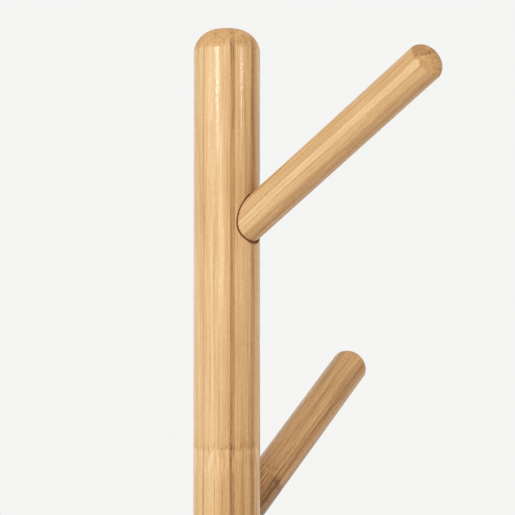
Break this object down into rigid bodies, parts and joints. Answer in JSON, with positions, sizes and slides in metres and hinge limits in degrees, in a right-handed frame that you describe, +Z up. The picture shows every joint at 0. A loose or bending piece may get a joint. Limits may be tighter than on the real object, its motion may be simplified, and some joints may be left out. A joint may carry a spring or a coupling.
{
  "type": "mug tree",
  "caption": "Round bamboo post on a disc base, with straight round-ended pegs that slope up and outward, climbing the post in quarter turns.",
  "frame": {"origin": "centre of the plane that the rubber feet stand on, on the post's axis", "axes": "+Z up along the post; +X is the side that the top peg leans out to; +Y is the side of the second peg down"},
  "size_m": [0.1618, 0.1618, 0.45],
  "materials": {
    "bamboo_post": "laminated honey bamboo, lengthwise grain, clear semi-gloss lacquer",
    "bamboo_pegs": "turned honey bamboo, lengthwise grain, clear semi-gloss lacquer",
    "bamboo_base": "edge-glued bamboo strips, clear semi-gloss lacquer",
    "zinc_steel": "bright zinc plate",
    "insert_brass": "turned, uncoated",
    "foot_rubber": "matt, fine moulded texture"
  },
  "bodies": {
    "root": {"post": "bamboo_post", "peg_top": "bamboo_pegs", "peg_upper": "bamboo_pegs", "peg_lower": "bamboo_pegs", "peg_bottom": "bamboo_pegs", "base": "bamboo_base", "hanger_bolt_top": "zinc_steel", "hanger_bolt_upper": "zinc_steel", "hanger_bolt_lower": "zinc_steel", "hanger_bolt_bottom": "zinc_steel", "peg_insert_top": "insert_brass", "peg_insert_upper": "insert_brass", "peg_insert_lower": "insert_brass", "peg_insert_bottom": "insert_brass", "base_insert": "insert_brass", "base_bolt": "zinc_steel", "base_washer": "zinc_steel", "rubber_foot_1": "foot_rubber", "rubber_foot_2": "foot_rubber", "rubber_foot_3": "foot_rubber", "rubber_foot_4": "foot_rubber"}
  },
  "joints": []
}
